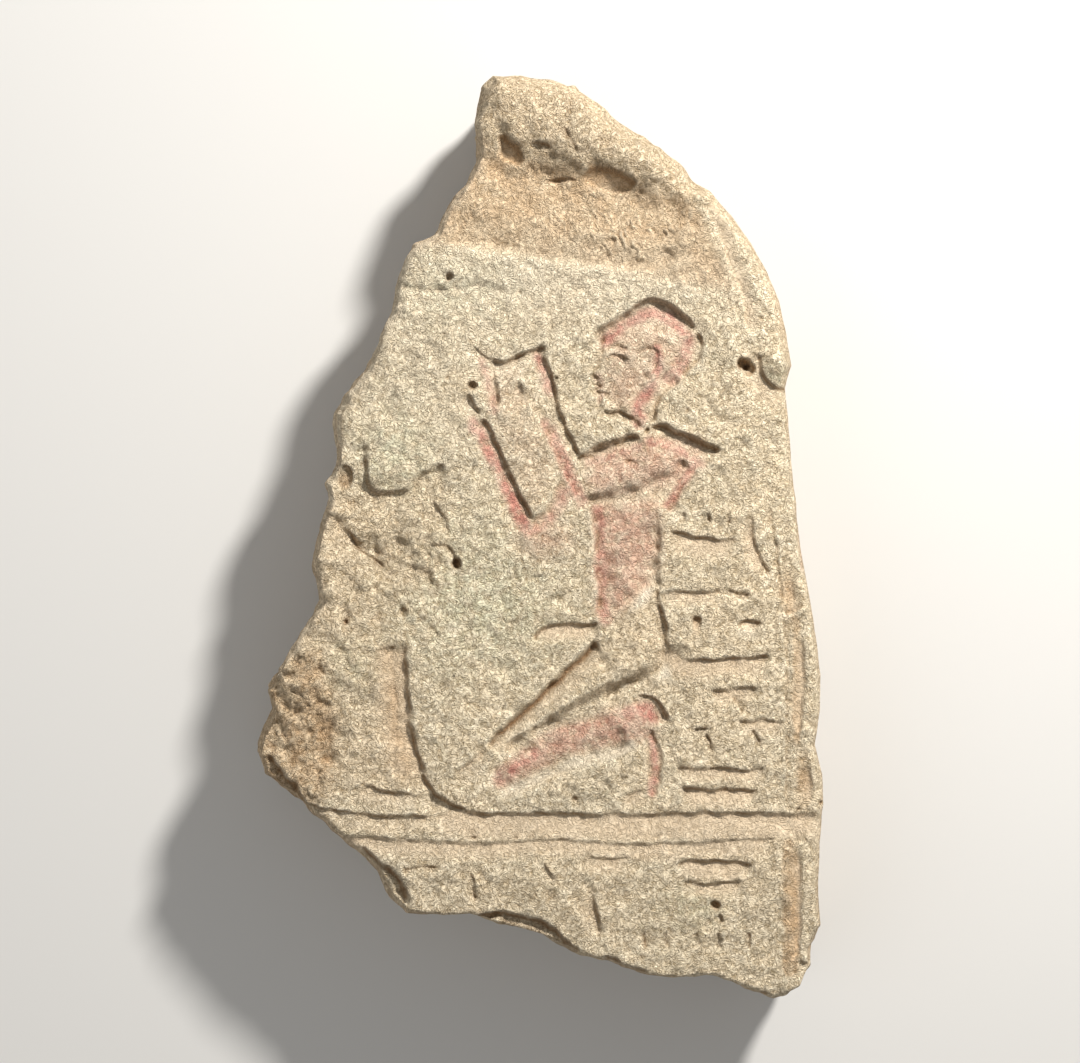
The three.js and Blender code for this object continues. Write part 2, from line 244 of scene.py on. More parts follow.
STEP_DOWN = Cut(1.0, 3, 9, 0)
LIGHT = Cut(1.4, 1.6, 6.5, 0.4)
FEATURE = Cut(1.4, 1.2, 3.4, 0.1)
APRON = Cut(1.7, 1.7, 6.5, 0.9)
BAND = Cut(1.5, 2.1, 10, 0.8)
STROKE = Cut(1.6, 1.6, 8, 0.8)
SMALL_STROKE = Cut(1.2, 1.4, 5.5, 0.7)
RULE = Cut(1.0, 2.0, 6, 0.7)
CHANNEL = Cut(1.1, 1.2, 5, 0.7)
GROOVE = Cut(1.0, 1.2, 4.2, 0.8)
FINE = Cut(1.1, 1.1, 2.6, 0)
CREASE = Cut(0.9, 0.8, 3.5, 0)
SCRATCH = Cut(0.5, 0.8, 1.6, 0)

DAMAGE = [
    (BREAK_HOLLOW, "right", [(476, 160), (505, 173), (545, 186), (590, 198), (640, 209), (692, 221)]),
    (UNDERCUT, "right", [(494, 140), (504, 145), (514, 148), (524, 156)]),
    (UNDERCUT, "right", [(578, 174), (590, 172), (606, 174), (622, 178), (634, 188)]),
    (STEP_DOWN, "right", [(392, 284), (420, 292), (450, 290), (480, 287), (512, 296)]),
    (BREAK_LIP, "left", [(440, 236), (490, 245), (532, 252), (585, 259), (637, 265), (668, 261), (684, 244)]),
    (BREAK_STEP, "right", [
        (364, 440), (364, 469), (367, 490), (383, 497), (406, 494), (420, 480), (434, 471), (449, 469),
    ]),
    (CHIP, "right", [(496, 915), (514, 917), (532, 922), (548, 927), (560, 938), (570, 949), (584, 955)]),
    (CHIP, "right", [(260, 752), (272, 764), (281, 778), (292, 788), (301, 804), (312, 816)]),
    (CHIP, "right", [(356, 846), (369, 854), (378, 866), (391, 876), (402, 890), (404, 908)]),
    (CHIP, "right", [(600, 957), (611, 960), (622, 968), (634, 972), (650, 973)]),
]
HEAD = [
    (DEEP, "right", [
        (593, 341), (606, 332), (627, 318), (641, 309), (653, 304), (668, 310), (682, 321), (694, 335),
    ]),
    (BODY, "right", [(693, 333), (699, 346), (696, 359), (687, 372), (680, 380)]),
    (LIGHT, "right", [(681, 379), (666, 389), (657, 403), (650, 424)]),
    (FEATURE, "right", [(604, 336), (601, 346), (603, 355), (598, 366), (592, 374)]),
    (FEATURE, "right", [(592, 373), (595, 378), (600, 380)]),
    (FEATURE, "right", [(600, 380), (596, 385), (600, 388), (596, 392), (601, 397), (598, 404), (602, 410)]),
    (FEATURE, "right", [(602, 410), (610, 413), (620, 412), (632, 419), (642, 430)]),
    (FINE, "right", [(605, 361), (613, 357), (622, 358), (629, 362)]),
    (SCRATCH, "left", [(608, 365), (616, 367), (627, 364)]),
    (FINE, "right", [(604, 351), (614, 347), (630, 350)]),
    (FINE, "right", [(599, 394), (610, 396)]),
    (FINE, "right", [(640, 354), (647, 350), (655, 356), (655, 367), (647, 377), (641, 371)]),
    (SCRATCH, "left", [(646, 357), (650, 362), (647, 369)]),
]
ARMS = [
    (CREASE, "right", [(474, 348), (482, 356), (492, 361)]),
    (BODY, "right", [(488, 361), (506, 364), (524, 357), (549, 348)]),
    (LIGHT, "right", [(466, 393), (473, 405), (482, 419)]),
    (BODY, "right", [(479, 418), (490, 434), (507, 473), (521, 503), (532, 524)]),
    (LIGHT, "right", [(529, 525), (538, 520), (548, 508), (557, 494), (566, 478)]),
    (LIGHT, "right", [(490, 363), (495, 385), (497, 410)]),
    (LIGHT, "right", [(517, 382), (523, 394), (530, 408)]),
    (LIFT, "left", [(524, 388), (534, 406), (546, 426), (556, 448), (568, 474), (580, 498)]),
    (BODY, "right", [(541, 352), (547, 372), (553, 395), (558, 415), (568, 437), (583, 461)]),
    (DEEP, "right", [(572, 464), (582, 460), (597, 452), (612, 446), (642, 437)]),
    (SOFT, "right", [(584, 505), (604, 501), (628, 496), (650, 487), (668, 478), (690, 461)]),
]
TRUNK = [
    (DEEP, "right", [(646, 429), (662, 431), (676, 436), (696, 444), (720, 456)]),
    (LIGHT, "right", [(715, 455), (703, 463), (692, 470), (679, 492), (666, 514)]),
    (TORSO, "left", [(591, 508), (597, 530), (599, 570), (601, 619)]),
    (TORSO, "right", [(658, 522), (655, 547), (654, 575), (655, 594)]),
    (STROKE, "right", [(634, 583), (655, 585)]),
]
LEGS = [
    (BODY, "right", [(654, 586), (659, 612), (663, 632), (670, 657), (675, 684)]),
    (APRON, "right", [(533, 643), (536, 636), (543, 630), (559, 626), (574, 627), (598, 625)]),
    (THIGH, "left", [(598, 641), (566, 673), (532, 705), (508, 726), (486, 748)]),
    (LIGHT, "left", [(488, 746), (472, 762), (453, 774)]),
    (UNDER_THIGH, "left", [
        (668, 640), (664, 658), (652, 673), (632, 684), (600, 698), (577, 709), (553, 723), (530, 735),
        (500, 755),
    ]),
    (CALF, "left", [(498, 796), (540, 778), (590, 757), (632, 742)]),
    (DEEP, "right", [(626, 706), (640, 697), (652, 700), (661, 712), (667, 723)]),
    (LIGHT, "right", [(648, 728), (655, 741), (659, 756), (656, 780), (653, 798)]),
    (FINE, "left", [(646, 741), (649, 765), (649, 782)]),
    (SMALL_STROKE, "right", [(618, 796), (637, 793), (646, 788)]),
]
LOST_FIGURE = [
    (BROAD, "right", [(403, 640), (405, 690), (409, 725), (415, 752), (424, 780)]),
    (BODY, "right", [(419, 768), (425, 782), (434, 794), (450, 805), (468, 812)]),
    (LIGHT, "left", [(430, 796), (383, 793), (370, 787), (350, 801)]),
    (SCRATCH, "right", [(393, 650), (395, 690), (398, 722)]),
    (FINE, "right", [(349, 793), (358, 787), (366, 781)]),
]
RULED_LINES = [
    (BAND, "right", [
        (430, 815), (456, 813), (480, 815), (560, 815), (620, 817), (690, 815), (746, 814), (791, 817),
        (812, 815), (821, 809),
    ]),
    (LIGHT, "right", [(305, 806), (340, 812), (365, 817), (405, 817), (448, 815)]),
    (RULE, "right", [
        (333, 838), (388, 840), (471, 844), (558, 841), (614, 845), (668, 845), (722, 842), (776, 839),
    ]),
    (SCRATCH, "right", [(793, 841), (803, 839), (813, 845)]),
    (FINE, "right", [(769, 505), (773, 540), (779, 577), (782, 600)]),
    (CHANNEL, "left", [(699, 200), (714, 222), (725, 250), (735, 279), (745, 310), (749, 338)]),
    (FINE, "left", [(785, 620), (786, 700), (787, 812)]),
    (GROOVE, "right", [(791, 578), (792, 596), (794, 611)]),
    (GROOVE, "right", [(800, 632), (802, 675), (800, 705), (797, 742)]),
    (GROOVE, "right", [(806, 762), (809, 785), (805, 806)]),
    (GROOVE, "right", [(797, 846), (798, 880), (798, 920), (797, 957)]),
    (STROKE, "right", [(762, 355), (758, 363), (759, 374), (765, 384), (775, 391), (789, 391)]),
    (FINE, "right", [(797, 955), (803, 963), (813, 956)]),
    (SMALL_STROKE, "left", [(783, 612), (794, 612), (804, 605)]),
]
STROKES = [
    (STROKE, "right", [(668, 532), (690, 538), (718, 542), (737, 540)]),
    (SMALL_STROKE, "right", [(749, 514), (755, 550), (769, 576)]),
    (SMALL_STROKE, "right", [(658, 594), (676, 592), (697, 593), (723, 591)]),
    (FINE, "right", [(723, 592), (752, 596)]),
    (STROKE, "right", [(690, 619), (702, 620)]),
    (STROKE, "right", [(735, 628), (746, 621), (761, 627)]),
    (STROKE, "right", [(660, 641), (670, 651), (686, 661), (718, 660), (770, 657)]),
    (SMALL_STROKE, "right", [(708, 691), (725, 691), (757, 687)]),
    (FINE, "left", [(732, 694), (744, 712)]),
    (FINE, "right", [(692, 729), (708, 728)]),
    (SMALL_STROKE, "right", [(734, 722), (760, 721), (788, 722)]),
    (FINE, "right", [(705, 733), (712, 752)]),
    (FINE, "right", [(750, 728), (760, 746)]),
    (SMALL_STROKE, "right", [(674, 769), (697, 769), (725, 769), (746, 771), (766, 768)]),
    (STROKE, "right", [(678, 789), (697, 790), (730, 790), (759, 790)]),
    (SMALL_STROKE, "right", [(585, 851), (595, 858), (614, 859), (631, 855)]),
    (STROKE, "right", [(672, 864), (690, 862), (730, 862), (752, 865)]),
    (SMALL_STROKE, "right", [(680, 883), (710, 884), (744, 881)]),
    (FINE, "right", [(716, 911), (721, 923)]),
    (FINE, "right", [(541, 862), (556, 880)]),
    (LIGHT, "right", [(590, 884), (594, 905), (599, 936)]),
    (FINE, "right", [(402, 870), (420, 866), (440, 868)]),
    (FINE, "right", [(470, 870), (476, 900)]),
]
TICKS = [(FINE, "right", [(x, 512), (x + 2, 524)]) for x in (682, 707, 727)]
TICKS += [(FINE, "right", [(x, 930), (x + 3, 947)]) for x in (642, 664, 695, 717, 746)]
CREASES = [
    (RIDGE, "right", [(330, 512), (342, 530), (356, 543), (370, 556)]),
    (RIDGE, "right", [(372, 552), (402, 566), (425, 574), (440, 600)]),
    (CREASE, "right", [(349, 530), (356, 546), (374, 560), (387, 567)]),
    (CREASE, "right", [(560, 128), (570, 141), (577, 158)]),
    (CREASE, "right", [(428, 546), (447, 548), (458, 562)]),
    (CREASE, "right", [(432, 500), (446, 520), (450, 535)]),
    (CREASE, "right", [(374, 651), (396, 648)]),
    (CREASE, "left", [(400, 603), (405, 622), (408, 642)]),
    (CREASE, "left", [(319, 655), (322, 668), (328, 676)]),
    (SCRATCH, "right", [(400, 598), (420, 615), (442, 640)]),
    (SCRATCH, "right", [(420, 295), (450, 290), (482, 288)]),
    (SCRATCH, "right", [(405, 389), (440, 386)]),
    (SCRATCH, "right", [(415, 255), (425, 280)]),
    (SCRATCH, "right", [(378, 340), (372, 350), (385, 356)]),
    (SCRATCH, "right", [(503, 580), (522, 578)]),
    (SCRATCH, "right", [(527, 578), (548, 576), (560, 580), (566, 586)]),
    (SCRATCH, "right", [(455, 612), (470, 614), (484, 606)]),
    (SCRATCH, "right", [(585, 601), (602, 599)]),
]
CUTS = DAMAGE + HEAD + ARMS + TRUNK + LEGS + LOST_FIGURE + RULED_LINES + STROKES + TICKS + CREASES

# Holes: centre, radii in picture units, depth in mm.
HOLES = [
    ((743, 365), (8, 7), 4), ((748, 371), (7, 7), 3), ((457, 563), (6, 6), 3.6),
    ((450, 278), (4.5, 4.5), 2.6), ((472, 386), (4.5, 4), 2.2), ((447, 378), (2.5, 2.5), 1),
    ((556, 379), (2.5, 2.5), 1), ((714, 904), (6, 5), 2.2), ((648, 432), (3.5, 3.5), 1.6),
    ((519, 294), (3, 3), 0.9), ((686, 411), (3, 3), 0.9), ((760, 320), (2.5, 2.5), 0.8),
    ((346, 622), (3, 4), 1.3), ((345, 478), (8, 12), 2.2), ((630, 462), (7, 3), 1),
    ((565, 700), (3, 3), 0.8), ((491, 914), (13, 3.2), 3), ((820, 803), (3, 2.5), 2),
    ((762, 993), (7, 3), 2), ((574, 798), (4, 3), 1), ((474, 836), (4, 2), 0.9),
    ((517, 836), (3, 2), 0.8), ((561, 182), (17, 2.6), 1.1), ((403, 613), (5, 4), 1.2),
    ((540, 148), (10, 4), 0.8),
]

# Rises and falls of the face: centre, radii in picture units, rise in mm, turn in degrees.
SWELLINGS = [
    ((556, 118), (95, 48), 2.7, 15), ((777, 364), (14, 18), 4.0, 0), ((283, 730), (50, 62), -4.5, 0),
    ((372, 560), (52, 62), -2.2, 0), ((790, 470), (22, 90), -3, 0), ((365, 720), (42, 80), -1.2, 0),
    ((505, 112), (30, 24), 1.2, 30), ((560, 135), (44, 20), 1.2, 22), ((635, 168), (42, 18), 1.6, 18),
    ((790, 588), (14, 30), -1, 0), ((800, 775), (9, 32), -1, 0), ((290, 690), (28, 30), 2, 0),
    ((340, 585), (34, 26), 1.4, 30), ((425, 530), (28, 22), 0.9, 0), ((395, 455), (34, 30), 0.9, 0),
    ((568, 704), (85, 15), 1.7, -37), ((590, 776), (66, 17), 1.4, -20), ((640, 472), (50, 13), 1.1, -22),
    ((646, 362), (34, 40), 1.0, 0), ((468, 272), (44, 18), 0.8, 0),
]

# In mm: how far the cavities under the lump go in, the spacing of the tool marks, the face's long waves.
CAVITY_DEPTH = 1.7
TOOL_SPACING = 2.8
WAVE_ACROSS, WAVE_ALONG = 107, 145

# Patches of the face, as closed polygons.
CAVITIES = [
    [(498, 140), (507, 141), (516, 149), (523, 159), (519, 166), (508, 163), (500, 154)],
    [
        (582, 177), (590, 171), (606, 172), (624, 177), (634, 184), (631, 191), (619, 195), (604, 193),
        (592, 187),
    ],
]
LUMP = [
    (470, 60), (600, 60), (720, 170), (694, 202), (640, 187), (590, 173), (545, 161), (505, 150), (460, 138),
]
HOLLOW = [
    (466, 140), (505, 152), (545, 163), (590, 175), (640, 190), (694, 203), (715, 250), (735, 292),
    (690, 286), (640, 276), (590, 264), (540, 256), (490, 248), (440, 244), (405, 246), (425, 215),
]
SCAR = [
    (300, 505), (365, 490), (400, 498), (440, 470), (450, 500), (440, 540), (455, 565), (430, 580),
    (400, 600), (380, 640), (290, 640),
]
LEFT_SUNK = [(300, 640), (403, 640), (403, 690), (416, 760), (427, 787), (380, 792), (290, 800)]
CORNER = [(240, 660), (320, 650), (335, 700), (330, 790), (300, 820), (240, 790)]
BACK_PATCH = [(627, 613), (645, 588), (652, 590), (644, 604)]
KNEE_PATCH = [(655, 680), (666, 664), (672, 678)]
SIGN_PATCH = [(735, 634), (746, 627), (762, 633), (748, 640)]

# Bands of the face, as paths.
BORDERS = [(795, 620), (795, 740)], [(789, 846), (790, 966)]
GROUND_FLOOR = [(470, 828), (560, 829), (660, 831), (770, 828)]
THIGH_LINE = [(597, 643), (566, 674), (532, 706), (500, 734)]
CALF_EDGE = [(506, 792), (560, 768), (632, 745)]
LOST_FLOOR = [(388, 655), (395, 720), (408, 775)]
FOOT_FACE = [(504, 924), (532, 932), (552, 941), (572, 956)]
CORNER_FACE = [(258, 764), (278, 784), (300, 810)]
LOW_FACE = [(352, 852), (374, 872), (392, 898)]

cavities = sum(region(polygon, 0.6) for polygon in CAVITIES)
lump = region(LUMP, 1.2)
hollow = region(HOLLOW, 1.5)
scar = region(SCAR, 1.5)
left_sunk = region(LEFT_SUNK, 1.5)
corner = region(CORNER, 2)
left_edge = strip(BROKEN_LEFT, 3.5, 4)
foot_edge = strip(BROKEN_FOOT, 1.2, 3)
corner_edge = strip(BROKEN_CORNER, 2.5, 4)
border_strip = 0.6 * strip(BORDERS[0], 1.4, 1.2) + strip(BORDERS[1], 2.6, 1)
broken = np.clip(lump + 0.9 * scar + corner + left_edge + foot_edge + corner_edge + 0.5 * left_sunk, 0, 1)

# Red pigment: strips with a half width, softness and amount, and patches with a softness and amount.
PIGMENT_STRIPS = [
    ([
        (606, 342), (622, 327), (640, 319), (655, 314), (673, 322), (685, 338), (687, 350), (680, 366),
        (669, 380),
    ], 2.2, 3.4, 0.95),
    ([(655, 350), (658, 364), (653, 380), (645, 396), (638, 408), (640, 424)], 1.9, 3, 0.95),
    ([(599, 377), (602, 388), (600, 400)], 1.2, 3, 0.5),
    ([(482, 362), (487, 378), (492, 396), (494, 412)], 1.3, 2.8, 0.65),
    ([(474, 424), (483, 439), (500, 475), (514, 505), (526, 529)], 2.0, 2.4, 0.95),
    ([(528, 534), (546, 522), (558, 507), (565, 492)], 2.0, 4, 0.7),
    ([(538, 357), (543, 372), (549, 392)], 1.5, 2.4, 0.85),
    ([(546, 424), (556, 444), (564, 462), (572, 484), (582, 500)], 2.0, 3.2, 0.8),
    ([(590, 463), (615, 454), (640, 448)], 1.8, 4, 0.7),
    ([(650, 443), (668, 446), (688, 456), (698, 464)], 2.0, 3.4, 0.8),
    ([(694, 464), (682, 482), (668, 506)], 1.5, 2.6, 0.85),
    ([(598, 512), (601, 528), (601, 560), (602, 590), (604, 618)], 2.4, 3.6, 0.85),
    ([(652, 738), (655, 765), (651, 792)], 1.3, 2, 0.85),
    ([(797, 470), (799, 520), (803, 570)], 0.5, 1.2, 0.6),
    ([(502, 777), (516, 765), (534, 754)], 2.8, 4, 0.95),
    ([(545, 739), (590, 724), (632, 713)], 2.0, 4, 0.65),
    ([(622, 716), (640, 709), (652, 716)], 2.6, 3.6, 0.95),
]
PIGMENT_PATCHES = [
    ([(596, 450), (700, 440), (700, 468), (660, 488), (600, 500), (585, 480)], 2, 0.48),
    ([(594, 508), (660, 498), (656, 560), (644, 590), (604, 620)], 2.5, 0.55),
    ([(496, 780), (540, 735), (620, 708), (655, 706), (655, 735), (560, 756), (508, 785)], 1.6, 0.6),
    ([(606, 335), (640, 314), (690, 330), (690, 362), (660, 388), (640, 420), (606, 400)], 2, 0.3),
    ([(484, 360), (520, 362), (528, 400), (560, 470), (534, 520), (500, 450)], 2, 0.12),
    ([(516, 530), (560, 520), (575, 545), (540, 560), (520, 550)], 3, 0.35),
]

# Soft spots of colour: centre, radii in picture units, amount.
TAN_SPOTS = [
    ((625, 640), (44, 42), 0.3), ((715, 680), (60, 150), 0.14), ((786, 592), (7, 26), 0.9),
    ((802, 780), (8, 26), 0.9), ((307, 738), (26, 30), 0.9), ((345, 480), (9, 12), 0.9),
]
GREEN_SPOTS = [
    ((395, 450), (38, 45), 0.9), ((480, 600), (80, 70), 0.8), ((350, 665), (30, 30), 0.5),
    ((695, 905), (26, 22), 0.8), ((450, 290), (60, 34), 0.6), ((775, 380), (18, 16), 0.6),
]


def relief():
    """Height of the face above its plane in mm, without the fine roughness, and how smooth it was left."""
    depth = np.zeros(X.shape)
    details = np.zeros(X.shape)
    clean = np.zeros(X.shape)
    uneven = 1 + 0.09 * noise(34, 14, 21)
    for cut, low, path in CUTS:
        window, signed, place, length = track(path, max(cut.wall, cut.slope))
        signed = signed if low == "right" else -signed
        wall = smooth(1 + signed / cut.wall)
        slope = np.clip(1 - signed / cut.slope, 0, 1)
        to_end = np.minimum(place, length - place)
        ends = 0.12 + 0.88 * smooth(to_end / min(max(2.2, 0.35 * cut.slope), 0.22 * length))
        down = cut.depth * uneven[window] * ends * np.where(signed < 0, wall, slope**1.35)
        layer = details if cut.slope < DETAIL_SLOPE else depth
        layer[window] = np.maximum(layer[window], down)
        tail = smooth(to_end / min(6, 0.4 * length))
        scraped = cut.clean * tail * np.where(signed < 0, wall, smooth(1.6 * slope))
        clean[window] = np.maximum(clean[window], scraped)
    depth += details
    for (hx, hy), (rx, ry), deep in HOLES:
        away = np.hypot((HAND_X - hx) / rx, (HAND_Y - hy) / ry)
        depth += deep * np.sqrt(np.clip(1 - away**2, 0, 1))
    height = sum(swelling(*s) for s in SWELLINGS) - depth - CAVITY_DEPTH * cavities
    return height + long_waves(), clean


def long_waves():
    """The slight unevenness of the whole face, in mm."""
    x, y = (X - CENTRE[0]) * UNIT, (CENTRE[1] - Y) * UNIT
    return 0.5 * np.sin(math.tau * x / WAVE_ACROSS + 0.6) * np.cos(math.tau * y / WAVE_ALONG + 0.4)


def creases(longest, shortest, width, seed):
    """Narrow winding furrows, one along their bottoms."""
    return np.clip(1 - np.abs(noise(longest, shortest, seed)) / width, 0, 1)


def roughness():
    """The unevenness of the face and the breaks, in mm. The finest grain is in the material."""
    grain = 0.09 * noise(9, 4, 32) + 0.3 * noise(28, 9, 33)
    patchy = smooth(0.45 + 0.4 * noise(30, 12, 30))
    furrows = 0.22 * creases(14, 6, 0.3, 43) * patchy
    torn = 0.5 * noise(40, 16, 34) + 0.16 * noise(15, 7, 35) - 0.4 * creases(22, 10, 0.22, 36)
    pits = 0.8 * np.clip(noise(9, 4, 38) - 2.9, 0, 1)
    across = (0.91 * X - 0.42 * Y) * UNIT
    strokes = np.sin(across * 2 * math.pi / TOOL_SPACING + 1.8 * noise(14, 6, 39))
    strokes = strokes * np.clip(noise(22, 9, 40) + 0.4, 0, 1)
    rugged = 0.3 * noise(20, 8, 44) - 0.45 * creases(18, 8, 0.3, 45)
    rugged = rugged * np.clip(corner + corner_edge + foot_edge, 0, 1)
    tooled = 0.2 * hollow + swelling((622, 236), (56, 30), 0.35)
    breaks = broken * (1 - 0.4 * lump) * torn + rugged + strokes * tooled
    return ((grain - furrows - pits) * (1 - 0.8 * clean) + breaks) * (1 - 0.6 * cavities)


def dirt_and_painted_shade_mask(form, height):
    """Dirt and painted shade: darker in the recesses, on the walls turned away from the key light, on the
    break faces and along the thigh's upper line.
    """
    recess = blur(height, 1.1) - height
    broad_recess = blur(height, 3.2) - height
    break_faces = strip(FOOT_FACE, 2.6, 1.6)
    break_faces += strip(CORNER_FACE, 1.8, 1.6)
    break_faces += 0.3 * strip(LOW_FACE, 1.4, 1.6)
    down_y, right_x = np.gradient(form, STEP * UNIT)
    # Painted shade: walls turned away from the key light, which comes from the top right, are darkened.
    shaded_wall = smooth((0.56 * right_x - 0.83 * down_y - 0.45) / 0.6)
    # Darker in the narrow and the broad recesses: partly grime in the cuts, partly painted shade.
    dirt_and_shade = smooth(recess / 1.2) * 0.85 + smooth((broad_recess - 1.2) / 3.0) * 0.6 + 0.8 * shaded_wall
    # Less in the cavities. The break faces along the foot and the lower corner get painted shade with brown
    # stain, and the lump is darkened a little.
    dirt_and_shade = dirt_and_shade * (1 - 0.4 * cavities) + 0.4 * break_faces + 0.12 * lump
    # A faint darkening along the foot.
    dirt_and_shade += swelling((600, 905), (260, 42), 0.1)
    # Painted shade: a dark line along the thigh's upper edge, where the cut is deep.
    return np.clip(dirt_and_shade + 0.8 * strip(THIGH_LINE, 0.9, 1.5), 0, 1)


def wear_mask(height):
    """Edges that are worn pale."""
    return smooth((height - blur(height, 1.1) - 0.05) / 0.5)


def pale_mask():
    """Chipped and rubbed places that show the fresh stone, and painted light: a broad pale band below the
    hollow, a pale lit edge along the calf and a paler left rim. Also a soft pale spot on the upper left.
    """
    pale = region(BACK_PATCH, 0.7) + region(KNEE_PATCH, 0.7) + 0.5 * region(SIGN_PATCH, 0.7)
    # Painted light: the broad pale band below the hollow. The second spot is a soft pale patch on the upper
    # left.
    pale += swelling((560, 285), (190, 45), 0.4) + swelling((420, 400), (70, 90), 0.2)
    # Painted light: a pale edge along the calf's lit top, and a paler left rim where it turns from the key
    # light.
    pale += 0.75 * strip(CALF_EDGE, 1.6, 1.8) + 0.4 * left_edge
    return np.clip(pale, 0, 1)


def pigment_mask():
    """How much red is left."""
    pigment = np.zeros(X.shape)
    for path, half_width, softness, amount in PIGMENT_STRIPS:
        pigment = np.maximum(pigment, amount * strip(path, half_width, softness))
    for polygon, softness, amount in PIGMENT_PATCHES:
        pigment = np.maximum(pigment, amount * region(polygon, softness))
    return pigment


def tan_mask():
    """Warm brown stain on the breaks, in the cavities and along the worked side."""
    tan = 0.8 * hollow + 0.3 * scar + 0.65 * corner + 0.35 * left_edge + 0.25 * left_sunk + border_strip
    tan += 0.9 * corner_edge + 0.5 * foot_edge + 0.35 * lump + 1.2 * cavities
    tan += 0.5 * strip(WORKED_ARCH[:6], 3, 4) + 0.5 * strip(LOST_FLOOR, 2, 7)
    for at, radii, amount in TAN_SPOTS:
        tan += swelling(at, radii, amount)
    return np.clip(tan, 0, 1)


def green_mask():
    """Places where the stone turns greenish."""
    return np.clip(sum(swelling(at, radii, amount) for at, radii, amount in GREEN_SPOTS), 0, 1)


form, clean = relief()
clean = np.maximum(clean, 0.7 * strip(GROUND_FLOOR, 3, 3))
clean = np.maximum(clean, np.maximum(0.35 * hollow, 0.7 * cavities))
height = form + roughness()


def sample(field, px, py):
    """Values of a grid field at picture points, blended between the four samples around each."""
    column = np.clip((px - GRID_X[0]) / STEP, 0, len(GRID_X) - 1.001)
    row = np.clip((py - GRID_Y[0]) / STEP, 0, len(GRID_Y) - 1.001)
    c, r = column.astype(int), row.astype(int)
    u, v = column - c, row - r
    top = field[r, c] * (1 - u) + field[r, c + 1] * u
    low = field[r + 1, c] * (1 - u) + field[r + 1, c + 1] * u
    return top * (1 - v) + low * v


def space_noise(points, size, seed):
    """Smooth noise in space, from about -1 to 1, for points in mm."""
    cells = 64
    lattice = np.random.default_rng(seed).uniform(-1, 1, (cells, cells, cells))
    cell = np.floor(points / size).astype(int)
    share = points / size - cell
    share = share * share * (3 - 2 * share)
    total = np.zeros(len(points))
    for corner_at in itertools.product((0, 1), repeat=3):
        weight = np.prod(np.where(corner_at, share, 1 - share), axis=1)
        i, j, k = ((cell + corner_at) % cells).T
        total += weight * lattice[i, j, k]
    return total


def inward_directions(corners):
    """Unit vectors into the outline at its corners, evened out over the neighbours."""
    edge = np.roll(corners, -1, 0) - corners
    normal = np.column_stack([edge[:, 1], -edge[:, 0]])
    normal /= np.linalg.norm(normal, axis=1)[:, None]
    total = sum(np.roll(normal, shift, 0) for shift in (2, 1, 0, -1))
    return total / np.linalg.norm(total, axis=1)[:, None]


def side_wave(speed, start):
    """How far each corner of the outline is drawn in below its rim, more where the side is rough."""
    turn = np.arange(len(RIMS))
    rough = RIMS[:, 2]
    return rough * (0.5 + 0.5 * np.sin(speed * turn + start))


def ring_profile():
    """Inset and height of each ring at the outline's corners, from the back up to the face."""
    width, drop, _, sharp = RIMS.T
    flat = np.zeros(len(RIMS))
    rings = [
        (BACK_CHAMFER + side_wave(1.3, 0), flat),
        (0.35 * BACK_CHAMFER + side_wave(2.1, 0), flat + 0.08 * THICKNESS),
        (side_wave(2.1, 0), flat + 0.2 * THICKNESS),
        (side_wave(1.7, 2), SIDE_SHARE * (THICKNESS - drop)),
    ]
    for share in (0, 0.12, 0.3, 0.55, 0.78, 1):
        rings.append((width * share, THICKNESS - drop * (1 - share) ** sharp))
    return rings


def blank_mesh():
    """The stone before it is carved: rings along the outline, closed over the back and the face."""
    corners = np.column_stack([(OUTLINE[:, 0] - CENTRE[0]) * UNIT, (CENTRE[1] - OUTLINE[:, 1]) * UNIT])
    inward = inward_directions(corners)
    rings = [np.column_stack([corners + inward * inset[:, None], level]) for inset, level in ring_profile()]
    count = len(corners)
    vertices = np.vstack(rings)
    faces = []
    for ring in range(len(rings) - 1):
        for i in range(count):
            low, across = ring * count + i, ring * count + (i + 1) % count
            faces.append((low, low + count, across + count, across))
    faces.append(tuple(range(count)))
    faces.append(tuple(reversed(range(len(vertices) - count, len(vertices)))))
    mesh = bpy.data.meshes.new("blank")
    mesh.from_pydata(vertices.tolist(), [], faces)
    return mesh


def modified(mesh, kind, chosen=(), **settings):
    """The mesh after one modifier, with the chosen vertices in a group of that name."""
    holder = bpy.data.objects.new("holder", mesh)
    bpy.context.scene.collection.objects.link(holder)
    holder.vertex_groups.new(name="chosen").add(list(chosen), 1.0, "REPLACE")
    modifier = holder.modifiers.new(kind.lower(), kind)
    for name, value in settings.items():
        setattr(modifier, name, value)
    graph = bpy.context.evaluated_depsgraph_get()
    result = bpy.data.meshes.new_from_object(holder.evaluated_get(graph))
    bpy.data.objects.remove(holder)
    bpy.data.meshes.remove(mesh)
    return result


def points_and_normals(mesh):
    """A mesh's vertices and their normals, as arrays with a row for each."""
    both = np.zeros((2, len(mesh.vertices) * 3))
    mesh.vertices.foreach_get("co", both[0])
    mesh.vertices.foreach_get("normal", both[1])
    return both.reshape(2, -1, 3)


def in_picture(points):
    """Points in mm as picture units across and down."""
    return points[:, 0] / UNIT + CENTRE[0], CENTRE[1] - points[:, 1] / UNIT


def dense_rims():
    """Points along the outline with the roughness of the side below them."""
    line, rough = [], []
    for i, start in enumerate(OUTLINE):
        end = OUTLINE[(i + 1) % len(OUTLINE)]
        for t in np.linspace(0, 1, 4, endpoint=False):
            line.append(start + t * (end - start))
            rough.append(RIMS[i][2] + t * (RIMS[(i + 1) % len(RIMS)][2] - RIMS[i][2]))
    return np.array(line), np.array(rough)


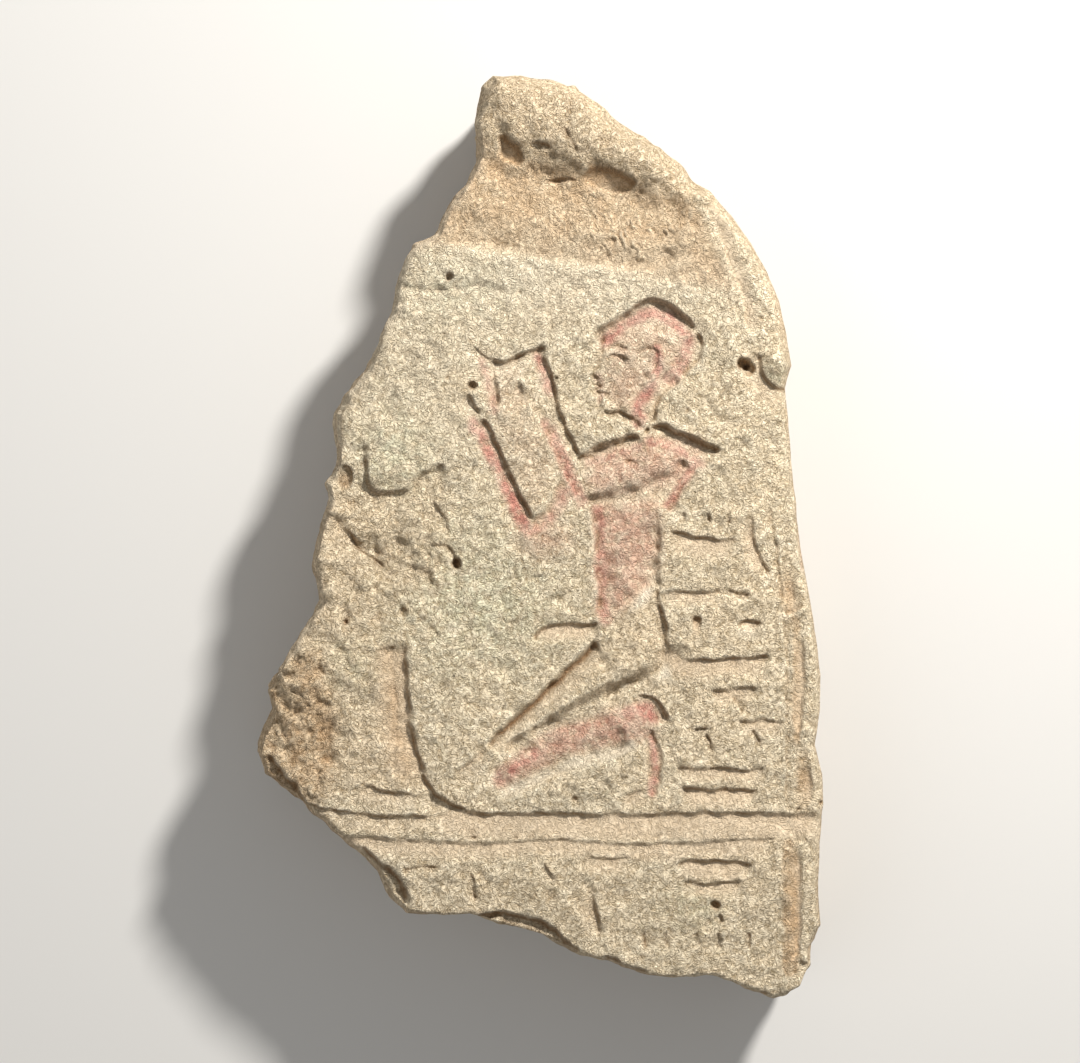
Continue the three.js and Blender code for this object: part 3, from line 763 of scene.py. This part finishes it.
def side_roughness(px, py):
    """The roughness of the side nearest to each point, worked out for a block of points at a time."""
    nearest = np.zeros(len(px))
    rim_line, rim_rough = dense_rims()
    size = 20000
    for start in range(0, len(px), size):
        block = slice(start, start + size)
        away = (px[block, None] - rim_line[:, 0]) ** 2 + (py[block, None] - rim_line[:, 1]) ** 2
        nearest[block] = rim_rough[away.argmin(1)]
    return nearest


def carve(mesh):
    """Moves the blank's points: relief on the face, breakage on the sides, slight dressing on the back."""
    points, normals = points_and_normals(mesh)
    px, py = in_picture(points)
    share = smooth((points[:, 2] / THICKNESS - 0.35) / 0.5)
    rise = sample(height, px, py) * share
    sideways = smooth((1 - np.abs(normals[:, 2])) / 0.5) * (1 - smooth((points[:, 2] - THICKNESS + 4) / 5))
    torn = (
        1.3 * space_noise(points, 14, 51) + 0.9 * space_noise(points, 6, 52)
        + 0.35 * space_noise(points, 3, 53) - 0.5 * np.abs(space_noise(points, 9, 54)) - 0.4
    )
    dressed = 0.3 * space_noise(points * (1, 1, 0.35), 7, 55)
    rough = side_roughness(px, py) / TOP_RIM.rough
    push = sideways * (rough * torn + (1 - rough) * dressed)
    moved = points + normals * push[:, None]
    moved[:, 2] += rise
    back = smooth((-normals[:, 2] - 0.6) / 0.3)
    marks = 0.35 + 0.3 * space_noise(points * (1, 0.35, 1), 6, 57) + 0.25 * space_noise(points, 14, 58)
    moved[:, 2] += back * np.clip(marks, 0, 1) * 0.8
    moved[:, 2] = np.maximum(moved[:, 2], 0)
    return moved


def write_points(mesh, points):
    """Moves a mesh's vertices to the points."""
    mesh.vertices.foreach_set("co", points.ravel())
    mesh.update()


def thinned(mesh, most, chosen=None):
    """The mesh with about the triangles asked for, taken from the chosen vertices alone if there are any."""
    ratio = min(1, most / sum(len(face.vertices) - 2 for face in mesh.polygons))
    settings = {"decimate_type": "COLLAPSE", "ratio": ratio, "use_collapse_triangulate": True}
    if chosen is None:
        return modified(mesh, "DECIMATE", **settings)
    return modified(mesh, "DECIMATE", chosen, vertex_group="chosen", vertex_group_factor=1.0, **settings)


def away_from_face(mesh):
    """The vertices of the sides and the back."""
    points, normals = points_and_normals(mesh)
    return np.flatnonzero((points[:, 2] < SIDE_SHARE * THICKNESS) | (normals[:, 2] < 0.1)).tolist()


def add_mask(mesh, name, values):
    """Stores a value for each vertex, for the material."""
    layer = mesh.attributes.new(name, "FLOAT", "POINT")
    layer.data.foreach_set("value", values.astype(np.float32))


mesh = modified(blank_mesh(), "REMESH", mode="VOXEL", voxel_size=VOXEL * 1)
write_points(mesh, carve(mesh))
outside = away_from_face(mesh)
kept = 2 * (len(mesh.vertices) - len(outside))
mesh = thinned(mesh, kept + REST_TRIANGLES, outside)
mesh = thinned(mesh, MOST_TRIANGLES)

points, normals = points_and_normals(mesh)
px, py = in_picture(points)
face_share = smooth((normals[:, 2] - 0.1) / 0.4) * smooth((points[:, 2] / THICKNESS - 0.45) / 0.3)
face_masks = {
    "pigment": pigment_mask(), "tan": tan_mask(), "dirt_and_shade": dirt_and_painted_shade_mask(form, height), "wear": wear_mask(height),
    "green": green_mask(), "clean": clean, "pale": pale_mask(),
}
side_dirt = np.clip(0.25 + 0.2 * space_noise(points, 8, 61), 0, 1)
side_masks = {"tan": 0.55, "dirt_and_shade": side_dirt}
for name, field in face_masks.items():
    add_mask(mesh, name, sample(field, px, py) * face_share + side_masks.get(name, 0) * (1 - face_share))
write_points(mesh, points / MM_PER_M)
mesh.shade_smooth()

stele = bpy.data.objects.new("carved_stele_fragment", mesh)
bpy.context.scene.collection.objects.link(stele)


class Tree:
    """Short calls for building a material's nodes."""

    def __init__(self, name):
        self.material = bpy.data.materials.new(name)
        self.material.use_nodes = True
        self.nodes = self.material.node_tree.nodes
        self.links = self.material.node_tree.links
        self.nodes.clear()

    def node(self, kind, settings=(), **inputs):
        """A node with its settings. An input is named, or i and its number, and takes a value or a link."""
        made = self.nodes.new(kind)
        for name, value in dict(settings).items():
            setattr(made, name, value)
        for name, value in inputs.items():
            key = int(name[1:]) if name[1:].isdigit() else name.replace("_", " ")
            socket = made.inputs[key]
            if isinstance(value, bpy.types.NodeSocket):
                self.links.new(value, socket)
            else:
                socket.default_value = value
        return made

    def noise(self, where, scale, detail=3.0, rough=0.55, bent=0.0):
        """Soft noise around one half, with scale in turns per millimetre."""
        made = self.node(
            "ShaderNodeTexNoise", Vector=where, Scale=scale, Detail=detail, Roughness=rough, Distortion=bent
        )
        return made.outputs["Fac"]

    def furrows(self, where, scale, width, bent):
        """Winding narrow furrows, zero along their bottoms and one between them."""
        off = self.math("ABSOLUTE", self.math("SUBTRACT", self.noise(where, scale, 1.0, 0.5, bent), 0.5), 0.0)
        return self.ramp(off, 0.0, width)

    def ramp(self, value, low, high, to_low=0.0, to_high=1.0):
        """An even turn from one value to another between two limits."""
        made = self.node("ShaderNodeMapRange", {"interpolation_type": "SMOOTHSTEP"}, i0=value)
        for index, number in enumerate((low, high, to_low, to_high), 1):
            made.inputs[index].default_value = number
        return made.outputs[0]

    def math(self, operation, a, b):
        return self.node("ShaderNodeMath", {"operation": operation}, i0=a, i1=b).outputs[0]

    def mix(self, share, a, b, blend="MIX"):
        made = self.node("ShaderNodeMix", {"data_type": "RGBA", "blend_type": blend}, i0=share, i6=a, i7=b)
        return made.outputs[2]

    def mask(self, name):
        return self.node("ShaderNodeAttribute", {"attribute_name": name}).outputs["Fac"]


def colour(red, green, blue):
    """An opaque colour."""
    return (red, green, blue, 1.0)


# The stone's colours: two of the ground, patches on it, and what lies on top. The dirt colour also serves as
# painted shade, the fresh colour also as painted light.
CREAM = colour(0.92, 0.775, 0.555)
SAND = colour(0.83, 0.71, 0.515)
LIGHT_PATCH = colour(0.95, 0.83, 0.62)
DULL_PATCH = colour(0.78, 0.705, 0.50)
GREENISH = colour(0.79, 0.78, 0.56)
SCRAPED = colour(0.66, 0.515, 0.365)
TAN = colour(0.62, 0.42, 0.24)
STRONG_RED = colour(0.62, 0.26, 0.205)
FADED_RED = colour(0.78, 0.47, 0.37)
DIRT_AND_SHADE = colour(0.27, 0.15, 0.065)
WORN = colour(0.9, 0.82, 0.64)
FRESH_AND_LIT = colour(0.95, 0.86, 0.69)

# The height of the finest grain, in metres.
BUMP_HEIGHT = 0.0008


def stone_patterns(tree):
    """The stone's patterns, from broad clouds to its finest grain, laid out in millimetres."""
    place = tree.node("ShaderNodeTexCoord").outputs["Object"]
    where = tree.node("ShaderNodeVectorMath", {"operation": "SCALE"}, i0=place, Scale=MM_PER_M).outputs[0]
    return {
        "clouds": tree.noise(where, 0.035, 4),
        "patches": tree.noise(where, 0.13, 4, 0.6),
        "mottle": tree.noise(where, 0.3, 3, 0.6),
        "grain": tree.noise(where, 0.65, 4, 0.65, 0.6),
        "fine": tree.noise(where, 2.2, 3, 0.6),
        "winding": tree.furrows(where, 0.36, 0.08, 1.8),
        "threads": tree.furrows(where, 0.8, 0.08, 1.4),
    }


def ground_colour(tree, pattern, clean):
    """The bare stone, with its patches, greenish and scraped places and brown stain."""
    base = tree.mix(tree.ramp(pattern["clouds"], 0.38, 0.62), CREAM, SAND)
    base = tree.mix(tree.ramp(pattern["patches"], 0.42, 0.68, 0, 0.8), base, LIGHT_PATCH)
    base = tree.mix(tree.ramp(pattern["mottle"], 0.55, 0.75, 0, 0.4), base, DULL_PATCH)
    green = tree.math("MULTIPLY", tree.mask("green"), tree.ramp(pattern["mottle"], 0.35, 0.6, 0.2, 0.75))
    base = tree.mix(green, base, GREENISH)
    base = tree.mix(tree.math("MULTIPLY", clean, 0.75), base, SCRAPED)
    tan = tree.math("MULTIPLY", tree.mask("tan"), tree.ramp(pattern["patches"], 0.3, 0.65, 0.35, 0.9))
    return tree.mix(tan, base, TAN)


def flecked(tree, pattern, base, rough):
    """The colour with light grains and dark furrows, weaker where the stone is smooth."""
    flecks = tree.ramp(pattern["grain"], 0.34, 0.66, 0.68, 1.22)
    flecks = tree.math("MULTIPLY", flecks, tree.ramp(pattern["winding"], 0, 1, 0.74, 1.04))
    flecks = tree.math("MULTIPLY", tree.math("SUBTRACT", flecks, 1.0), rough)
    tones = [tree.math("ADD", tree.math("MULTIPLY", flecks, share), 1.0) for share in (0.9, 1.0, 1.15)]
    shade = tree.node("ShaderNodeCombineColor", i0=tones[0], i1=tones[1], i2=tones[2]).outputs[0]
    return tree.mix(1.0, base, shade, "MULTIPLY")


def marked(tree, pattern, base):
    """The colour with red pigment, dirt and painted shade, worn edges, and fresh chips and painted light over
    it.
    """
    pigment = tree.math("MULTIPLY", tree.mask("pigment"), tree.ramp(pattern["mottle"], 0.3, 0.56, 0.45, 1.0))
    red = tree.mix(tree.ramp(pattern["patches"], 0.4, 0.62), STRONG_RED, FADED_RED)
    base = tree.mix(pigment, base, red)
    dirt_and_shade = tree.math("MULTIPLY", tree.mask("dirt_and_shade"), tree.ramp(pattern["grain"], 0.25, 0.6, 0.6, 0.95))
    base = tree.mix(dirt_and_shade, base, DIRT_AND_SHADE)
    wear = tree.math("MULTIPLY", tree.mask("wear"), tree.ramp(pattern["patches"], 0.35, 0.65, 0.1, 0.45))
    base = tree.mix(wear, base, WORN)
    return tree.mix(tree.math("MULTIPLY", tree.mask("pale"), 0.8), base, FRESH_AND_LIT)


def grain_height(tree, pattern, rough):
    """The rise of the finest grain, lower where the stone is smooth."""
    rise = tree.math("MULTIPLY", pattern["grain"], 1.2)
    for name, amount in (("fine", 0.2), ("winding", 0.55), ("threads", 0.3)):
        rise = tree.math("ADD", rise, tree.math("MULTIPLY", pattern[name], amount))
    return tree.math("MULTIPLY", rise, rough)


def stone_material():
    """Mottled limestone, coloured and worn by the mesh's masks, which also carry painted shade and painted
    light.
    """
    tree = Tree("limestone")
    pattern = stone_patterns(tree)
    clean = tree.mask("clean")
    rough = tree.math("SUBTRACT", 1.0, tree.math("MULTIPLY", clean, 0.6))
    base = flecked(tree, pattern, ground_colour(tree, pattern, clean), rough)
    base = marked(tree, pattern, base)
    rise = grain_height(tree, pattern, rough)
    bump = tree.node("ShaderNodeBump", Height=rise, Strength=1.0, Distance=BUMP_HEIGHT)
    shader = tree.node(
        "ShaderNodeBsdfPrincipled", Base_Color=base, Roughness=0.93, Normal=bump.outputs[0]
    )
    shader.inputs["Specular IOR Level"].default_value = 0.2
    tree.node("ShaderNodeOutputMaterial", Surface=shader.outputs[0])
    return tree.material


mesh.materials.clear()
mesh.materials.append(stone_material())
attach(stele, "root")
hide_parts("stele_fragment")


def floor(half):
    """A wide pale floor under the stone, with half its width in metres."""
    sheet = bpy.data.meshes.new("floor")
    corners = [(-half, -half, 0), (half, -half, 0), (half, half, 0), (-half, half, 0)]
    sheet.from_pydata(corners, [], [(0, 1, 2, 3)])
    ground = bpy.data.objects.new("floor", sheet)
    bpy.context.scene.collection.objects.link(ground)
    tree = Tree("floor")
    shader = tree.node("ShaderNodeBsdfPrincipled", Base_Color=colour(0.72, 0.72, 0.71), Roughness=0.9)
    tree.node("ShaderNodeOutputMaterial", Surface=shader.outputs[0])
    sheet.materials.append(tree.material)


def light(name, azimuth, elevation, distance, size, power, tint):
    """A round light that looks at the face. Azimuth turns from the carving's top to its right, in degrees."""
    a, e = math.radians(azimuth), math.radians(elevation)
    towards = Vector((math.sin(a) * math.cos(e), math.cos(a) * math.cos(e), math.sin(e)))
    lamp = bpy.data.lights.new(name, "AREA")
    lamp.shape = "DISK"
    lamp.size = size
    lamp.energy = power
    lamp.color = tint
    holder = bpy.data.objects.new(name, lamp)
    holder.location = towards * distance + Vector((0, 0, THICKNESS / MM_PER_M))
    holder.rotation_euler = towards.to_track_quat("Z", "Y").to_euler()
    bpy.context.scene.collection.objects.link(holder)


def camera():
    """A long lens straight above the carved face, framed as the photograph is."""
    lens, sensor = 100.0, 36.0
    framed_level = THICKNESS - 5
    eye = bpy.data.cameras.new("camera")
    eye.lens = lens
    eye.sensor_width = sensor
    away = PICTURE_WIDTH * UNIT * lens / sensor
    across = (PICTURE_MIDDLE[0] - CENTRE[0]) * UNIT
    up = (CENTRE[1] - PICTURE_MIDDLE[1]) * UNIT
    holder = bpy.data.objects.new("camera", eye)
    holder.location = Vector((across, up, framed_level + away)) / MM_PER_M
    bpy.context.scene.collection.objects.link(holder)
    bpy.context.scene.camera = holder


def surroundings(tint, strength):
    """Even light from all sides."""
    world = bpy.data.worlds.new("studio")
    world.use_nodes = True
    background = world.node_tree.nodes["Background"]
    background.inputs[0].default_value = tint
    background.inputs[1].default_value = strength
    bpy.context.scene.world = world


floor(half=6.0)
light("key", azimuth=34, elevation=36, distance=1.1, size=0.13, power=18.8, tint=(1.0, 0.96, 0.905))
light("fill", azimuth=245, elevation=50, distance=1.6, size=1.2, power=3.4, tint=(1.0, 0.97, 0.94))
camera()
surroundings(tint=colour(1.0, 0.98, 0.95), strength=0.27)
bpy.context.scene.view_settings.view_transform = "Standard"
